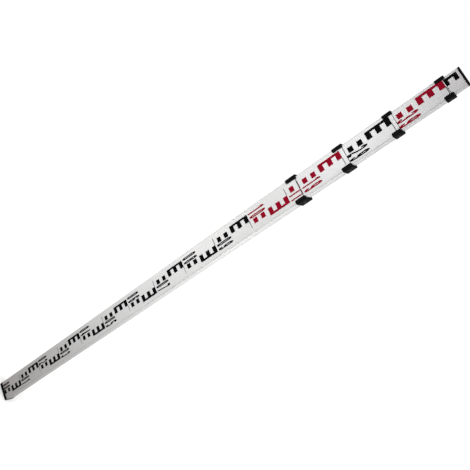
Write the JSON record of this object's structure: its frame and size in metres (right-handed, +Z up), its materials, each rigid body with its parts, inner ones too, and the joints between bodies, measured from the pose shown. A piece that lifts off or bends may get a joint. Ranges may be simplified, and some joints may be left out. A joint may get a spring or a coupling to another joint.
{
  "type": "telescopic levelling staff",
  "caption": "Telescopic box-section levelling staff with an E-pattern scale, black end collars, foot and cap, shown partly drawn out.",
  "frame": {"origin": "centre of the foot's underside, which is the zero of the scale", "axes": "+Z up along the staff, graduated face towards -Y, lock holes in the back towards +Y, +X to the right of someone reading the face"},
  "size_m": [0.0584, 0.0304, 1.4717],
  "materials": {
    "anodised_aluminium": "satin anodised drawn tube, graduated face printed black and red on a pale coat",
    "collar_plastic": "moulded black nylon, fine satin",
    "foot_plastic": "moulded black nylon, scuffed underside",
    "shoe_plastic": "moulded dark acetal",
    "button_plastic": "moulded black acetal, smooth",
    "spring_steel": "drawn spring wire",
    "black_steel": "black oxide drive pins",
    "zinc_steel": "zinc plated"
  },
  "bodies": {
    "section_1": {"section_1_tube": "anodised_aluminium", "collar_1": "collar_plastic", "collar_1_pin_left": "black_steel", "collar_1_pin_right": "black_steel", "foot_cap": "foot_plastic", "foot_cap_screw": "zinc_steel"},
    "section_2": {"section_2_tube": "anodised_aluminium", "collar_2": "collar_plastic", "collar_2_pin_left": "black_steel", "collar_2_pin_right": "black_steel", "guide_shoe_2": "shoe_plastic", "lock_spring_2": "spring_steel"},
    "section_3": {"section_3_tube": "anodised_aluminium", "collar_3": "collar_plastic", "collar_3_pin_left": "black_steel", "collar_3_pin_right": "black_steel", "guide_shoe_3": "shoe_plastic", "lock_spring_3": "spring_steel"},
    "section_4": {"section_4_tube": "anodised_aluminium", "collar_4": "collar_plastic", "collar_4_pin_left": "black_steel", "collar_4_pin_right": "black_steel", "guide_shoe_4": "shoe_plastic", "lock_spring_4": "spring_steel"},
    "section_5": {"section_5_tube": "anodised_aluminium", "guide_shoe_5": "shoe_plastic", "lock_spring_5": "spring_steel", "top_cap": "collar_plastic"},
    "lock_button_2": {"lock_button_2": "button_plastic"},
    "lock_button_3": {"lock_button_3": "button_plastic"},
    "lock_button_4": {"lock_button_4": "button_plastic"},
    "lock_button_5": {"lock_button_5": "button_plastic"}
  },
  "joints": [
    {"name": "section_2_slide", "type": "slide", "parent": "section_1", "child": "section_2", "axis": [0, 0, 1], "range_m": [-0.0854, 0.7683]},
    {"name": "section_3_slide", "type": "slide", "parent": "section_2", "child": "section_3", "axis": [0, 0, 1], "range_m": [-0.0847, 0.8946]},
    {"name": "section_4_slide", "type": "slide", "parent": "section_3", "child": "section_4", "axis": [0, 0, 1], "range_m": [-0.0818, 0.8978]},
    {"name": "section_5_slide", "type": "slide", "parent": "section_4", "child": "section_5", "axis": [0, 0, 1], "range_m": [-0.0228, 0.9724]},
    {"name": "lock_button_2_press", "type": "slide", "parent": "section_2", "child": "lock_button_2", "axis": [0, -1, 0], "range_m": [0, 0.0015], "stiffness_N_per_m": 800, "deforming": ["lock_spring_2"]},
    {"name": "lock_button_3_press", "type": "slide", "parent": "section_3", "child": "lock_button_3", "axis": [0, -1, 0], "range_m": [0, 0.0015], "stiffness_N_per_m": 800, "deforming": ["lock_spring_3"]},
    {"name": "lock_button_4_press", "type": "slide", "parent": "section_4", "child": "lock_button_4", "axis": [0, -1, 0], "range_m": [0, 0.0015], "stiffness_N_per_m": 800, "deforming": ["lock_spring_4"]},
    {"name": "lock_button_5_press", "type": "slide", "parent": "section_5", "child": "lock_button_5", "axis": [0, -1, 0], "range_m": [0, 0.0015], "stiffness_N_per_m": 800, "deforming": ["lock_spring_5"]}
  ]
}
